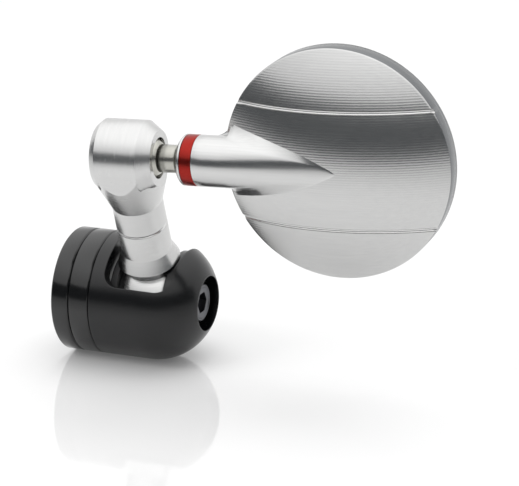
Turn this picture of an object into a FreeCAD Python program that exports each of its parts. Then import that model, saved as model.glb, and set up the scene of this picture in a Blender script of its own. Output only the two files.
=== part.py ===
"""Bar-end motorcycle mirror: a clamp housing for the end of a handlebar, a swinging stem,
a ball-jointed arm and a round, domed mirror head machined from the solid.

Frame: X runs along the handlebar, outwards, from the face that meets the bar end. Z is up.
The mirror looks along +Y, so the domed back faces -Y. All sizes are in millimetres.
"""
import FreeCAD, Part
import math
import os

V = FreeCAD.Vector

# Clearances and edge breaks
SEAT_GAP = 0.1
RUNNING_GAP = 0.05
EYE_GAP = 0.4
SEAM_CHAMFER = 0.3
EDGE_BREAK = 0.4
CUT_SPARE = 2.0

# Clamp housing, turned about the bar axis
HOUSING_R = 16.0
HOUSING_WALL = 3.2
ADAPTER_LENGTH = 4.8
CLAMP_RING_LENGTH = 5.64
HOUSING_STRAIGHT = 13.06
DOME_LENGTH = 15.2
BAR_THREAD_R = 6.5
ADAPTER_BOSS_WALL = 3.5
ADAPTER_BOSS_LENGTH = 3.0
END_WALL = 1.9

# Window that the stem swings in
WINDOW_HALF_ANGLE = 67.0
WINDOW_HALF_WIDTH = 8.8
WINDOW_CORNER_R = 4.0

# Clamp bolt and the parts it squeezes
BOLT_R = 3.0
BOLT_HEAD_R = 5.0
BOLT_HEAD_HEIGHT = 3.6
BOLT_HEAD_SINK = 1.5
BOLT_SOCKET_FLATS = 5.0
BOLT_SOCKET_DEPTH = 2.4
BOLT_HOLE_GAP = 0.2
BOLT_TIP_GAP = 0.5
BOLT_WASHER_R = 5.9
BOLT_WASHER_THICKNESS = 0.7
BOLT_RECESS_R = 7.1
FRICTION_WASHER_THICKNESS = 1.5

# Swinging stem: an eye on the bolt with a round stem on top
EYE_WIDTH = 13.0
BUSH_WALL = 0.6
STEM_R = 6.48
SKIRT_PROUD = 0.5
LOWER_STEM_LENGTH = 7.6
SPIGOT_R = 4.0
SPIGOT_LENGTH = 7.0
SPIGOT_GROOVE_DEPTH = 0.8
STEM_SWING = 22.0

# Upper stem, free to turn on the spigot and held by a set screw at its back
UPPER_STEM_LENGTH = 7.1
STEM_SWIVEL = 4.0
SET_SCREW_R = 1.5
SET_SCREW_LENGTH = 2.9
SET_SCREW_FLATS = 1.5
SET_SCREW_HEIGHT = 3.4

# Head on the upper stem: a stub cylinder across the stem that holds the ball
NECK_RISE = 13.73
NECK_ANGLE = 18.4
HEAD_R = 9.23
HEAD_BACK = 7.26
HEAD_FRONT = 8.39
HEAD_BACK_CHAMFER = (1.71, 1.46)
HEAD_FRONT_CHAMFER = (3.17, 2.34)
BALL_R = 5.6
BALL_OFFSET = 4.6
MOUTH_R = 5.1
MOUTH_LIP = 1.1
BALL_BORE_WALL = 2.83
PLUG_LENGTH = 4.0
PLUG_SINK = 0.2
PLUG_SOCKET_FLATS = 5.0
PLUG_SOCKET_DEPTH = 2.0
SPRING_THICKNESS = 0.6
SPRING_HEIGHT = 1.2
SEAT_SPLIT_GAP = 0.2

# Ball stud, end ferrule and red ring, along the arm from the ball's centre
STUD_NECK_R = 3.5
STUD_SHOULDER = 9.57
STUD_SHOULDER_R = 5.3
STUD_SHOULDER_LENGTH = 0.9
STUD_TAIL_R = 2.9
STUD_TAIL_LENGTH = 8.0
FERRULE_LENGTH = 1.1
FERRULE_CHAMFER = 0.6
RING_LENGTH = 3.07
RING_WALL = 1.86

# Arm and mirror head, machined as one piece
ARM_R = 6.36
DISC_R = 28.75
ARM_LENGTH = 5.4
DISC_BEHIND_ARM = 3.0
RIM_WIDTH = 5.1
DOME_HEIGHT = 8.0
DISC_WALL = 3.0
GROOVE_HEIGHT = 14.6
GROOVE_WIDTH = 0.8
GROOVE_DEPTH = 0.45
FLARE_R = 4.5
FLARE_LENGTH = 4.0
FLARE_SINK = 0.2
FLARE_FOOT = 1.6
FLARE_STEPS = 7
ARM_TIP_REACH = 2.5
GLASS_GAP = 0.1
RIM_WALL = 1.6
GLASS_THICKNESS = 2.0
GLASS_SINK = 0.1
PAD_THICKNESS = 0.5
PAD_MARGIN = 0.5
GLASS_LEDGE = 4.0
ARM_RISE = 2.3
MIRROR_TILT = 2.5

# Places along the bar axis that follow from the sizes above
CAVITY_R = HOUSING_R - HOUSING_WALL
HOUSING_START = ADAPTER_LENGTH + CLAMP_RING_LENGTH
DOME_START = HOUSING_START + HOUSING_STRAIGHT
RECESS_RIM = DOME_START + DOME_LENGTH * math.sqrt(1 - (BOLT_RECESS_R / HOUSING_R) ** 2)
BOLT_UNDER_HEAD = RECESS_RIM - BOLT_HEAD_SINK - BOLT_HEAD_HEIGHT
RECESS_FLOOR = BOLT_UNDER_HEAD - BOLT_WASHER_THICKNESS
CAVITY_END = RECESS_FLOOR - END_WALL
EYE_END = CAVITY_END - RUNNING_GAP
EYE_START = EYE_END - EYE_WIDTH
STEM_X = (EYE_START + EYE_END) / 2
WASHER_END = EYE_START - RUNNING_GAP
WASHER_START = WASHER_END - FRICTION_WASHER_THICKNESS
ADAPTER_BOSS_R = BAR_THREAD_R + ADAPTER_BOSS_WALL
ADAPTER_END = ADAPTER_LENGTH + ADAPTER_BOSS_LENGTH
BOSS_POCKET_END = ADAPTER_END + SEAT_GAP

# Places along the stem, from the bolt's axis
EYE_R = CAVITY_R - EYE_GAP
EYE_BORE_R = BOLT_R + RUNNING_GAP + BUSH_WALL
SKIRT_R = WINDOW_HALF_WIDTH - EYE_GAP
SKIRT_UNDERSIDE = CAVITY_R + EYE_GAP
SKIRT_TOP = HOUSING_R + SKIRT_PROUD
SKIRT_EDGE = SKIRT_TOP - (SKIRT_R - STEM_R)
SWIVEL_HEIGHT = SKIRT_TOP + LOWER_STEM_LENGTH
SCREW_HEIGHT = SWIVEL_HEIGHT + SET_SCREW_HEIGHT
NECK_START = SWIVEL_HEIGHT + UPPER_STEM_LENGTH
HEAD_HEIGHT = NECK_START + NECK_RISE

# Places along the head, from the stem's axis
BALL_BORE_R = HEAD_R - BALL_BORE_WALL
BALL_SEAT_R = BALL_R + SEAT_GAP
LIP_START = HEAD_FRONT - MOUTH_LIP
PLUG_START = -HEAD_BACK + PLUG_SINK
PLUG_END = PLUG_START + PLUG_LENGTH
CUP_START = PLUG_END + SPRING_HEIGHT

# Places along the arm, from the ball's centre, and across it
SHOULDER_END = STUD_SHOULDER + STUD_SHOULDER_LENGTH
FERRULE_START = SHOULDER_END + RUNNING_GAP
RING_START = FERRULE_START + FERRULE_LENGTH + RUNNING_GAP
ARM_START = RING_START + RING_LENGTH + RUNNING_GAP
RING_SPIGOT_R = ARM_R - RING_WALL
TAIL_END = SHOULDER_END + STUD_TAIL_LENGTH
DISC_EDGE = ARM_START + ARM_LENGTH
DISC_CENTRE = DISC_EDGE + DISC_R
FLARE_LEVEL = DISC_BEHIND_ARM + FLARE_SINK
FLARE_REACH = math.sqrt((ARM_R + FLARE_R) ** 2 - (FLARE_LEVEL - FLARE_R) ** 2)
FLARE_END = DISC_CENTRE - math.sqrt(DISC_R ** 2 - FLARE_REACH ** 2)
DISC_FRONT = DISC_BEHIND_ARM + RIM_WIDTH
DOME_SPHERE_R = (DISC_R ** 2 + DOME_HEIGHT ** 2) / (2 * DOME_HEIGHT)
DOME_APEX = DISC_BEHIND_ARM - DOME_HEIGHT
DOME_SPHERE_Y = DOME_APEX + DOME_SPHERE_R
GLASS_R = DISC_R - RIM_WALL - GLASS_GAP
GLASS_BACK = DISC_FRONT - GLASS_SINK - GLASS_THICKNESS
PAD_BACK = GLASS_BACK - PAD_THICKNESS

# Frames of the bodies: the swung stem, the turned head, and the mirror about its ball
SWING_FRAME = FreeCAD.Placement(V(STEM_X, 0, 0), FreeCAD.Rotation(V(1, 0, 0), STEM_SWING))
TURN_FRAME = SWING_FRAME * FreeCAD.Placement(V(0, 0, 0), FreeCAD.Rotation(V(0, 0, 1), STEM_SWIVEL))
HEAD_FRAME = TURN_FRAME * FreeCAD.Placement(V(0, 0, HEAD_HEIGHT), FreeCAD.Rotation())
BALL_CENTRE = HEAD_FRAME.multVec(V(BALL_OFFSET, 0, 0))
ARM_TURN = FreeCAD.Rotation(V(0, 1, 0), -ARM_RISE) * FreeCAD.Rotation(V(1, 0, 0), MIRROR_TILT)
MIRROR_FRAME = FreeCAD.Placement(BALL_CENTRE, ARM_TURN)


def turned(profile):
    """Solid of revolution about the X axis from (x, radius) corners."""
    corners = [V(x, 0, r) for x, r in profile]
    face = Part.Face(Part.makePolygon(corners + corners[:1]))
    return face.revolve(V(0, 0, 0), V(1, 0, 0), 360)


def upright(profile):
    """Solid of revolution about the Z axis from (radius, z) corners."""
    corners = [V(r, 0, z) for r, z in profile]
    face = Part.Face(Part.makePolygon(corners + corners[:1]))
    return face.revolve(V(0, 0, 0), V(0, 0, 1), 360)


def rod(radius, start, end):
    """Cylinder along X between two places."""
    return Part.makeCylinder(radius, end - start, V(start, 0, 0), V(1, 0, 0))


def tube(inner_r, outer_r, start, end):
    """Plain ring along X between two places."""
    return rod(outer_r, start, end).cut(rod(inner_r, start, end))


def round_plate(radius, start, end):
    """Round plate of the mirror head, between two places along Y."""
    return Part.makeCylinder(radius, end - start, V(DISC_CENTRE, start, 0), V(0, 1, 0))


def hexagon(flats, start, end):
    """Hexagonal prism along X, for a socket."""
    corner_r = flats / math.sqrt(3)
    angles = [math.radians(60 * k) for k in range(7)]
    corners = [V(start, corner_r * math.cos(a), corner_r * math.sin(a)) for a in angles]
    return Part.Face(Part.makePolygon(corners)).extrude(V(end - start, 0, 0))


def placed(shape, frame):
    """Copy of a shape moved from a body's own frame to the part's frame."""
    moved = shape.copy()
    moved.Placement = frame * moved.Placement
    return moved


def bar_adapter_ring():
    """Ring that meets the handlebar, threaded for the bar plug, with a boss for the clamp ring."""
    return turned([(0, BAR_THREAD_R), (0, HOUSING_R - SEAM_CHAMFER), (SEAM_CHAMFER, HOUSING_R),
                   (ADAPTER_LENGTH - SEAM_CHAMFER, HOUSING_R), (ADAPTER_LENGTH, HOUSING_R - SEAM_CHAMFER),
                   (ADAPTER_LENGTH, ADAPTER_BOSS_R), (ADAPTER_END, ADAPTER_BOSS_R), (ADAPTER_END, BAR_THREAD_R)])


def clamp_ring():
    """Ring tapped for the clamp bolt, with a boss that squeezes the friction washer."""
    tapped_r = BOLT_R + RUNNING_GAP
    boss_r = CAVITY_R - SEAT_GAP
    pocket_r = ADAPTER_BOSS_R + SEAT_GAP
    return turned([(ADAPTER_LENGTH, pocket_r), (ADAPTER_LENGTH, HOUSING_R - SEAM_CHAMFER),
                   (ADAPTER_LENGTH + SEAM_CHAMFER, HOUSING_R), (HOUSING_START - SEAM_CHAMFER, HOUSING_R),
                   (HOUSING_START, HOUSING_R - SEAM_CHAMFER), (HOUSING_START, boss_r),
                   (WASHER_START, boss_r), (WASHER_START, tapped_r),
                   (BOSS_POCKET_END, tapped_r), (BOSS_POCKET_END, pocket_r)])


def window_cutter():
    """Sector of a thick tube with rounded corners, to cut the window in the housing's wall."""
    start, end = STEM_X - WINDOW_HALF_WIDTH, STEM_X + WINDOW_HALF_WIDTH
    outer_r = HOUSING_R + CUT_SPARE
    corners = [V(start, 0, CAVITY_R), V(start, 0, outer_r), V(end, 0, outer_r), V(end, 0, CAVITY_R)]
    face = Part.Face(Part.makePolygon(corners + corners[:1]))
    face.rotate(V(0, 0, 0), V(1, 0, 0), -WINDOW_HALF_ANGLE)
    sector = face.revolve(V(0, 0, 0), V(1, 0, 0), 2 * WINDOW_HALF_ANGLE)
    radial = [edge for edge in sector.Edges if abs(edge.Length - (outer_r - CAVITY_R)) < 1e-6]
    return sector.makeFillet(WINDOW_CORNER_R, radial)


def pivot_housing():
    """Domed cup with a window for the stem and a recess for the bolt's head."""
    rim = V(RECESS_RIM, 0, BOLT_RECESS_R)
    shoulder = V(DOME_START, 0, HOUSING_R)
    centre, apex = V(DOME_START, 0, 0), V(DOME_START + DOME_LENGTH, 0, 0)
    short, long = (apex, shoulder) if HOUSING_R > DOME_LENGTH else (shoulder, apex)
    ellipse = Part.Ellipse(long, short, centre)
    start, end = sorted((ellipse.parameter(shoulder), ellipse.parameter(rim)))
    dome = Part.ArcOfEllipse(ellipse, start, end).toShape()
    rest = Part.makePolygon([rim, V(RECESS_RIM, 0, 0), V(HOUSING_START, 0, 0),
                             V(HOUSING_START, 0, HOUSING_R - SEAM_CHAMFER),
                             V(HOUSING_START + SEAM_CHAMFER, 0, HOUSING_R), shoulder])
    outer = Part.Face(Part.Wire(Part.__sortEdges__([dome] + rest.Edges)))
    solid = outer.revolve(V(0, 0, 0), V(1, 0, 0), 360)
    cavity = rod(CAVITY_R, HOUSING_START, CAVITY_END)
    bolt_hole = rod(BOLT_R + BOLT_HOLE_GAP, CAVITY_END, RECESS_FLOOR)
    recess = rod(BOLT_RECESS_R, RECESS_FLOOR, RECESS_RIM)
    return solid.cut([cavity, bolt_hole, recess, window_cutter()])


def clamp_washer():
    """Plain washer under the bolt's head."""
    return tube(BOLT_R + BOLT_HOLE_GAP, BOLT_WASHER_R, RECESS_FLOOR, BOLT_UNDER_HEAD)


def clamp_bolt():
    """Low-head socket screw along the bar axis, threaded into the clamp ring."""
    top = BOLT_UNDER_HEAD + BOLT_HEAD_HEIGHT
    tip = BOSS_POCKET_END + BOLT_TIP_GAP
    body = turned([(tip, 0), (tip, BOLT_R - EDGE_BREAK), (tip + EDGE_BREAK, BOLT_R), (BOLT_UNDER_HEAD, BOLT_R),
                   (BOLT_UNDER_HEAD, BOLT_HEAD_R), (top - EDGE_BREAK, BOLT_HEAD_R),
                   (top, BOLT_HEAD_R - EDGE_BREAK), (top, 0)])
    return body.cut(hexagon(BOLT_SOCKET_FLATS, top - BOLT_SOCKET_DEPTH, top))


def friction_washer():
    """Washer between the clamp ring's boss and the eye."""
    return tube(BOLT_R + BOLT_HOLE_GAP, EYE_R, WASHER_START, WASHER_END)


def pivot_eye():
    """Eye that turns on the bolt, a flared skirt in the window, and the lower stem with its spigot."""
    half = EYE_WIDTH / 2
    groove_r = SPIGOT_R - SPIGOT_GROOVE_DEPTH
    groove_low = SCREW_HEIGHT - SET_SCREW_R - SEAT_GAP
    groove_high = SCREW_HEIGHT + SET_SCREW_R + SEAT_GAP
    spigot_top = SWIVEL_HEIGHT + SPIGOT_LENGTH
    stem = upright([(0, 0), (SPIGOT_R, 0), (STEM_R, SKIRT_UNDERSIDE), (SKIRT_R, SKIRT_EDGE), (STEM_R, SKIRT_TOP),
                    (STEM_R, SWIVEL_HEIGHT - SEAM_CHAMFER), (STEM_R - SEAM_CHAMFER, SWIVEL_HEIGHT),
                    (SPIGOT_R, SWIVEL_HEIGHT), (SPIGOT_R, groove_low), (groove_r, groove_low),
                    (groove_r, groove_high), (SPIGOT_R, groove_high), (SPIGOT_R, spigot_top), (0, spigot_top)])
    solid = rod(EYE_R, -half, half).fuse(stem).removeSplitter()
    return placed(solid.cut(rod(EYE_BORE_R, -half, half)), SWING_FRAME)


def eye_bush():
    """Plain bush pressed into the eye, running on the bolt."""
    return placed(tube(BOLT_R + RUNNING_GAP, EYE_BORE_R, -EYE_WIDTH / 2, EYE_WIDTH / 2), SWING_FRAME)


def neck():
    """Cone about the stem that widens into the head, cut flat at the head's front, back and sides."""
    wide_r = STEM_R + NECK_RISE * math.tan(math.radians(NECK_ANGLE))
    cone = upright([(0, -NECK_RISE), (STEM_R, -NECK_RISE), (wide_r, 0), (0, 0)])
    corner = V(-HEAD_BACK, -HEAD_R, -NECK_RISE)
    return cone.common(Part.makeBox(HEAD_BACK + HEAD_FRONT, 2 * HEAD_R, NECK_RISE, corner))


def upper_stem():
    """Upper stem and ball head in one piece, bored for the spigot from below and the ball from behind."""
    back_x, back_r = HEAD_BACK_CHAMFER
    front_x, front_r = HEAD_FRONT_CHAMFER
    stub = turned([(-HEAD_BACK, 0), (-HEAD_BACK, HEAD_R - back_r), (back_x - HEAD_BACK, HEAD_R),
                   (HEAD_FRONT - front_x, HEAD_R), (HEAD_FRONT, HEAD_R - front_r), (HEAD_FRONT, 0)])
    bottom = SWIVEL_HEIGHT + RUNNING_GAP - HEAD_HEIGHT
    column = upright([(0, bottom), (STEM_R - SEAM_CHAMFER, bottom), (STEM_R, bottom + SEAM_CHAMFER),
                      (STEM_R, -NECK_RISE), (0, -NECK_RISE)])
    solid = stub.fuse([neck(), column]).removeSplitter()
    ball_bore = rod(BALL_BORE_R, -HEAD_BACK, LIP_START)
    mouth = rod(MOUTH_R, LIP_START, HEAD_FRONT)
    spigot_bore = Part.makeCylinder(SPIGOT_R + RUNNING_GAP, SPIGOT_LENGTH + SEAT_GAP, V(0, 0, bottom))
    screw_place = V(0, 0, SCREW_HEIGHT - HEAD_HEIGHT)
    screw_hole = Part.makeCylinder(SET_SCREW_R + RUNNING_GAP, STEM_R, screw_place, V(0, 1, 0))
    return placed(solid.cut([ball_bore, mouth, spigot_bore, screw_hole]), HEAD_FRAME)


def swivel_set_screw():
    """Grub screw at the back of the upper stem, its tip in the spigot's groove."""
    tip = SPIGOT_R - SPIGOT_GROOVE_DEPTH + RUNNING_GAP
    end = tip + SET_SCREW_LENGTH
    screw = rod(SET_SCREW_R, tip, end).cut(hexagon(SET_SCREW_FLATS, end - SET_SCREW_LENGTH / 2, end))
    to_back = FreeCAD.Placement(V(0, 0, SCREW_HEIGHT), FreeCAD.Rotation(V(0, 0, 1), 90))
    return placed(screw, TURN_FRAME * to_back)


def preload_plug():
    """Threaded plug that closes the back of the head and loads the ball."""
    plug = rod(BALL_BORE_R - RUNNING_GAP, PLUG_START, PLUG_END)
    return placed(plug.cut(hexagon(PLUG_SOCKET_FLATS, PLUG_START, PLUG_START + PLUG_SOCKET_DEPTH)), HEAD_FRAME)


def disc_spring():
    """Coned spring washer between the plug and the seat cup."""
    outer_r, inner_r = BALL_BORE_R - EYE_GAP, BALL_BORE_R / 2
    cone = turned([(PLUG_END, outer_r), (PLUG_END + SPRING_THICKNESS, outer_r), (CUP_START, inner_r),
                   (CUP_START - SPRING_THICKNESS, inner_r)])
    return placed(cone, HEAD_FRAME)


def back_seat_cup():
    """Plastic cup behind the ball."""
    cup = rod(BALL_BORE_R - RUNNING_GAP, CUP_START, BALL_OFFSET - SEAT_SPLIT_GAP / 2)
    return placed(cup.cut(Part.makeSphere(BALL_SEAT_R, V(BALL_OFFSET, 0, 0))), HEAD_FRAME)


def front_seat_ring():
    """Plastic ring between the ball and the lip of the head's mouth."""
    ring = rod(BALL_BORE_R - RUNNING_GAP, BALL_OFFSET + SEAT_SPLIT_GAP / 2, LIP_START)
    return placed(ring.cut(Part.makeSphere(BALL_SEAT_R, V(BALL_OFFSET, 0, 0))), HEAD_FRAME)


def ball():
    """Steel ball of the joint."""
    return placed(Part.makeSphere(BALL_R), MIRROR_FRAME)


def ball_stud():
    """Neck that grows from the ball, with a shoulder and a tail threaded into the arm."""
    stud = turned([(0, 0), (0, STUD_NECK_R), (STUD_SHOULDER, STUD_NECK_R), (SHOULDER_END, STUD_SHOULDER_R),
                   (SHOULDER_END, STUD_TAIL_R), (TAIL_END, STUD_TAIL_R), (TAIL_END, 0)])
    return placed(stud.cut(Part.makeSphere(BALL_R + RUNNING_GAP)), MIRROR_FRAME)


def end_ferrule():
    """Silver end cap of the arm, chamfered towards the ball."""
    bore_r = STUD_TAIL_R + RUNNING_GAP
    end = FERRULE_START + FERRULE_LENGTH
    ring = turned([(FERRULE_START, bore_r), (FERRULE_START, ARM_R - FERRULE_CHAMFER),
                   (FERRULE_START + FERRULE_CHAMFER, ARM_R), (end, ARM_R), (end, bore_r)])
    return placed(ring, MIRROR_FRAME)


def accent_ring():
    """Red anodised ring on the arm's spigot."""
    return placed(tube(RING_SPIGOT_R + RUNNING_GAP, ARM_R, RING_START, RING_START + RING_LENGTH), MIRROR_FRAME)


def flare_section(x, hollow, foot):
    """Outline across the arm: its round back, sweeping out through two hollows to the disc's edge."""
    rise = FLARE_LEVEL - hollow
    reach = math.sqrt((ARM_R + hollow) ** 2 - rise ** 2)
    touch = V(x, rise, reach) * (ARM_R / (ARM_R + hollow))
    touch.x = x
    bend = (math.radians(90) + math.atan2(-rise, -reach) % math.radians(360)) / 2
    waist = V(x, rise + hollow * math.sin(bend), reach + hollow * math.cos(bend))
    upper = Part.Arc(touch, waist, V(x, FLARE_LEVEL, reach)).toShape()
    lower = upper.mirror(V(0, 0, 0), V(0, 0, 1))
    back = Part.Arc(V(x, touch.y, -touch.z), V(x, -ARM_R, 0), touch).toShape()
    sole = FLARE_LEVEL + foot
    base = Part.makePolygon([V(x, FLARE_LEVEL, reach), V(x, sole, reach), V(x, sole, -reach),
                             V(x, FLARE_LEVEL, -reach)])
    return Part.Wire(Part.__sortEdges__([back, upper, lower] + base.Edges))


def arm_root():
    """Root of the arm: it flares out to the rim, then runs to a point on the dome as one cone."""
    sections = []
    for k in range(FLARE_STEPS + 1):
        angle = math.radians(90) * k / FLARE_STEPS
        grow = 1 - math.cos(angle)
        x = FLARE_END - FLARE_LENGTH * (1 - math.sin(angle))
        sections.append(flare_section(x, max(RUNNING_GAP, FLARE_R * grow), RUNNING_GAP + FLARE_FOOT * grow))
    tip = Part.Vertex(V(DISC_CENTRE + ARM_TIP_REACH, DOME_APEX, 0))
    flare = Part.makeLoft(sections, True, True)
    return flare.fuse(Part.makeLoft([sections[-1], tip], True, True))


def disc_back():
    """Domed round back with its rim and two long grooves, hollow behind the glass."""
    centre = V(DISC_CENTRE, DOME_SPHERE_Y, 0)
    disc = round_plate(DISC_R, DOME_APEX - CUT_SPARE, DISC_FRONT)
    disc = disc.common(Part.makeSphere(DOME_SPHERE_R, centre))
    groove_floor = Part.makeSphere(DOME_SPHERE_R - GROOVE_DEPTH, centre)
    for side in (1, -1):
        corner = V(DISC_EDGE, DOME_APEX - CUT_SPARE, side * GROOVE_HEIGHT - GROOVE_WIDTH / 2)
        slab = Part.makeBox(2 * DISC_R, DOME_HEIGHT + CUT_SPARE, GROOVE_WIDTH, corner)
        disc = disc.cut(slab.cut(groove_floor))
    pocket = round_plate(GLASS_R + GLASS_GAP, PAD_BACK, DISC_FRONT)
    hollow = Part.makeSphere(DOME_SPHERE_R - DISC_WALL, centre)
    hollow = hollow.common(round_plate(GLASS_R - GLASS_LEDGE, DOME_APEX, PAD_BACK))
    return disc.cut([pocket, hollow])


def mirror_body():
    """Disc, tapered arm and ring spigot as one machined piece, bored for the stud's tail."""
    spigot = rod(RING_SPIGOT_R, RING_START, ARM_START)
    arm = rod(ARM_R, ARM_START, FLARE_END)
    solid = disc_back().fuse([arm_root(), arm, spigot]).removeSplitter()
    return placed(solid.cut(rod(STUD_TAIL_R + RUNNING_GAP, 0, TAIL_END + SEAT_GAP)), MIRROR_FRAME)


def mirror_glass():
    """Round glass set in the rim."""
    return placed(round_plate(GLASS_R, GLASS_BACK, GLASS_BACK + GLASS_THICKNESS), MIRROR_FRAME)


def adhesive_pad():
    """Foam tape between the glass and its ledge."""
    return placed(round_plate(GLASS_R - PAD_MARGIN, PAD_BACK, GLASS_BACK), MIRROR_FRAME)


PIECES = [bar_adapter_ring, clamp_ring, pivot_housing, clamp_washer, clamp_bolt, friction_washer,
          pivot_eye, eye_bush, upper_stem, swivel_set_screw, preload_plug, disc_spring, back_seat_cup,
          front_seat_ring, ball, ball_stud, end_ferrule, accent_ring, mirror_body, mirror_glass, adhesive_pad]

os.makedirs("parts", exist_ok=True)
for piece in PIECES:
    shape = piece()
    shape.exportStep("parts/" + piece.__name__ + ".step")
    print(piece.__name__, len(shape.Solids), shape.isValid(), round(shape.Volume, 1))
print("stem x", STEM_X, "ball centre", BALL_CENTRE, "arm", ARM_TURN.multVec(V(1, 0, 0)))
print("stem", SWING_FRAME.Rotation.multVec(V(0, 0, 1)), "head axis", HEAD_FRAME.Rotation.multVec(V(1, 0, 0)))
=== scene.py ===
# %% [markdown]
# Motorcycle mirror for the end of a handlebar, dressed for its picture.
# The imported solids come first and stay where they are. Each visible piece is then modelled again with
# finer edges, or keeps its own solid, and gets the finish of the real metal or plastic.

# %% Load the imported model
import math
import bpy
from mathutils import Matrix, Vector


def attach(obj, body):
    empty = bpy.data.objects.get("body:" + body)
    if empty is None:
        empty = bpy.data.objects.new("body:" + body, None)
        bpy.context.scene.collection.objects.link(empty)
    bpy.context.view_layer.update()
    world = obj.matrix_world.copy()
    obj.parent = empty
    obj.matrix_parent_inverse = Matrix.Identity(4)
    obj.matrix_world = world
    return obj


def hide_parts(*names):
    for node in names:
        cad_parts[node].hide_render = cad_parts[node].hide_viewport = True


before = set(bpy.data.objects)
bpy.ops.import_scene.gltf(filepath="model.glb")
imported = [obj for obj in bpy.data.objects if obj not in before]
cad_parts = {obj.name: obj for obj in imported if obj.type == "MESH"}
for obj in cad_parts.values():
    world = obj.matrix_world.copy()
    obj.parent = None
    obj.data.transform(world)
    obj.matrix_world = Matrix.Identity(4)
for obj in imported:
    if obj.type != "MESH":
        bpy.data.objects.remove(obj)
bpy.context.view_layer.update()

MM = 0.001

# %% [markdown]
# Three frames carry the pieces. The bar axis is X itself, so the housing needs none. The head sits on the
# stem, which is swung 22 degrees towards the back of the mirror and turned 4 degrees on its swivel.
# The arm and the disc are turned about the ball's centre. Each piece is modelled along X first, where
# its sizes are plain to read, and then put in its frame.

# %% Frames of the moving pieces
BALL_CENTRE = Vector((27.4603, -16.5336, 41.7786)) * MM
STEM_X = 22.8715
STEM_FOOT = Vector((STEM_X, 0, 0)) * MM
HEAD_HEIGHT = 44.93 * MM
MIRROR_TURN = Matrix.Rotation(math.radians(-2.3), 4, "Y") @ Matrix.Rotation(math.radians(2.5), 4, "X")
MIRROR_FRAME = Matrix.Translation(BALL_CENTRE) @ MIRROR_TURN
STEM_TURN = Matrix.Rotation(math.radians(22), 4, "X")
STEM_FRAME = Matrix.Translation(STEM_FOOT) @ STEM_TURN
HEAD_FRAME = STEM_FRAME @ Matrix.Rotation(math.radians(4), 4, "Z") @ Matrix.Translation((0, 0, HEAD_HEIGHT))
print("arm points along", [round(v, 3) for v in MIRROR_TURN.col[0][:3]])

# %% [markdown]
# Colours are written as the sRGB values that a colour picker shows. The shader works in linear light,
# so one function turns the one into the other. One more function adds a node with its settings, its
# values and its wires, which keeps each material short enough to read as a recipe.

# %% Colour and node helpers
def linear(hex_colour):
    """Linear RGBA of an sRGB hex value."""
    channels = [int(hex_colour[i:i + 2], 16) / 255 for i in (1, 3, 5)]
    return [c / 12.92 if c <= 0.04045 else ((c + 0.055) / 1.055) ** 2.4 for c in channels] + [1.0]


def node(owner, kind, values=None, wires=None, **settings):
    """Add one node to a material or the world, with its properties, its socket values and its wires."""
    made = owner.node_tree.nodes.new(kind)
    for name, value in settings.items():
        setattr(made, name, value)
    for socket, value in (values or {}).items():
        made.inputs[socket].default_value = value
    for socket, source in (wires or {}).items():
        owner.node_tree.links.new(source, made.inputs[socket])
    return made


def new_finish(name, **values):
    """A material with its shader's plain values set. Returns the material and the shader."""
    material = bpy.data.materials.new(name)
    material.use_nodes = True
    shader = material.node_tree.nodes["Principled BSDF"]
    for socket, value in values.items():
        shader.inputs[socket.replace("_", " ")].default_value = value
    return material, shader


# The Mix node has sockets of one name for each kind of value; these are the places of its colours.
COLOUR_A, COLOUR_B, COLOUR_RESULT = 6, 7, 2


def grain(material, shader, colours, grain_mm, roughness, bump_um, place=(0, 0, 0), turn=(0, 0, 0),
          stretch=(1, 1, 1), edge_mm=0):
    """Fine grain of a finish: it varies the colour and the gloss a little and lifts the surface.

    With edge_mm the light also runs round the edges, as on a piece that was tumbled or blasted.
    """
    wire = material.node_tree.links.new
    coordinates = node(material, "ShaderNodeTexCoord")
    mapping = node(material, "ShaderNodeMapping", {"Location": place, "Rotation": turn, "Scale": stretch},
                   {"Vector": coordinates.outputs["Object"]}, vector_type="TEXTURE")
    noise = node(material, "ShaderNodeTexNoise", {"Scale": 1 / (grain_mm * MM), "Detail": 3.0},
                 {"Vector": mapping.outputs["Vector"]})
    tint = node(material, "ShaderNodeMix", {COLOUR_A: linear(colours[0]), COLOUR_B: linear(colours[1])},
                {"Factor": noise.outputs["Fac"]}, data_type="RGBA")
    gloss = node(material, "ShaderNodeMapRange", {"To Min": roughness[0], "To Max": roughness[1]},
                 {"Value": noise.outputs["Fac"]})
    bump = node(material, "ShaderNodeBump", {"Strength": 1.0, "Distance": bump_um * 1e-6},
                {"Height": noise.outputs["Fac"]})
    if edge_mm:
        edge = node(material, "ShaderNodeBevel", {"Radius": edge_mm * MM}, samples=6)
        wire(edge.outputs["Normal"], bump.inputs["Normal"])
    wire(tint.outputs[COLOUR_RESULT], shader.inputs["Base Color"])
    wire(gloss.outputs["Result"], shader.inputs["Roughness"])
    wire(bump.outputs["Normal"], shader.inputs["Normal"])
    return mapping, bump


print("white in linear light:", linear("#FFFFFF"))

# %% [markdown]
# The disc and the arm are milled from one block of aluminium and then anodised clear. A ball-nosed cutter
# went to and fro along the arm, and each pass left a shallow trough, so fine lines about 0.6 mm apart run
# across the dome. Lines could be cut into the mesh, but that takes a million faces. A wave in the bump
# does the same to the light. It is turned with the arm, so that the lines stay parallel to it. The arm
# has no passes. The rim gets a darker copy of the metal as painted shade, and the grooves, cut last, get
# a lighter copy as a painted highlight.

# %% Clear anodised aluminium, milled
# Gives the eye a bright grey metal with soft reflections, drawn out across the cutter's lines.
PASS_PITCH, PASS_BUMP_UM = 0.6 * MM, 6
ALONG_ARM, ROUND_RIM = (40, 1, 1), (12, 0.4, 12)
ARM_TURN = MIRROR_TURN.to_euler()
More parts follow.
